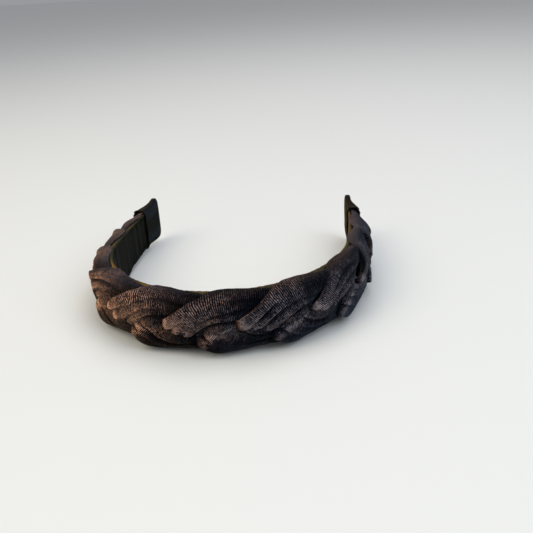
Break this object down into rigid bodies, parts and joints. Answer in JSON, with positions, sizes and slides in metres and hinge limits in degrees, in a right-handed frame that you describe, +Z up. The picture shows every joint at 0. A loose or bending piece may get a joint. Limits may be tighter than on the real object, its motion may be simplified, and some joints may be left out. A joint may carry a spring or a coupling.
{
  "type": "headband",
  "caption": "Braided velvet headband: three padded velvet tubes plaited flat over a springy U-shaped core, with a satin lining inside and a fabric wrap at each tip.",
  "frame": {"origin": "bottom centre of the box around the headband as it lies on its lower edge", "axes": "+Z up across the band's width, +Y from the crown toward the open tips, +X toward the wearer's side on the right of the picture"},
  "size_m": [0.1578, 0.1522, 0.0322],
  "materials": {
    "velvet": "soft black ribbed velvet with a bright pile edge",
    "wadding": "loose polyester fibre",
    "lining": "dark satin ribbon with a soft cross sheen",
    "core": "moulded black strip",
    "tip_wrap": "dark ribbed fabric",
    "glue": "set hot-melt glue"
  },
  "bodies": {
    "left_half": {"lining_left": "lining", "core_left": "core", "strand_a_left": "velvet", "strand_b_left": "velvet", "strand_c_left": "velvet", "wadding_a_left": "wadding", "wadding_b_left": "wadding", "wadding_c_left": "wadding", "glue_pad_left": "glue", "tip_wrap_left": "tip_wrap"},
    "right_half": {"lining_right": "lining", "core_right": "core", "strand_a_right": "velvet", "strand_b_right": "velvet", "strand_c_right": "velvet", "wadding_a_right": "wadding", "wadding_b_right": "wadding", "wadding_c_right": "wadding", "glue_pad_right": "glue", "tip_wrap_right": "tip_wrap"}
  },
  "joints": [
    {"name": "crown_flex", "type": "hinge", "parent": "left_half", "child": "right_half", "pos_m": [0, -0.0766, 0.016], "axis": [0, 0, -1], "range_deg": [0, 26], "stiffness_Nm_per_rad": 0.6}
  ]
}
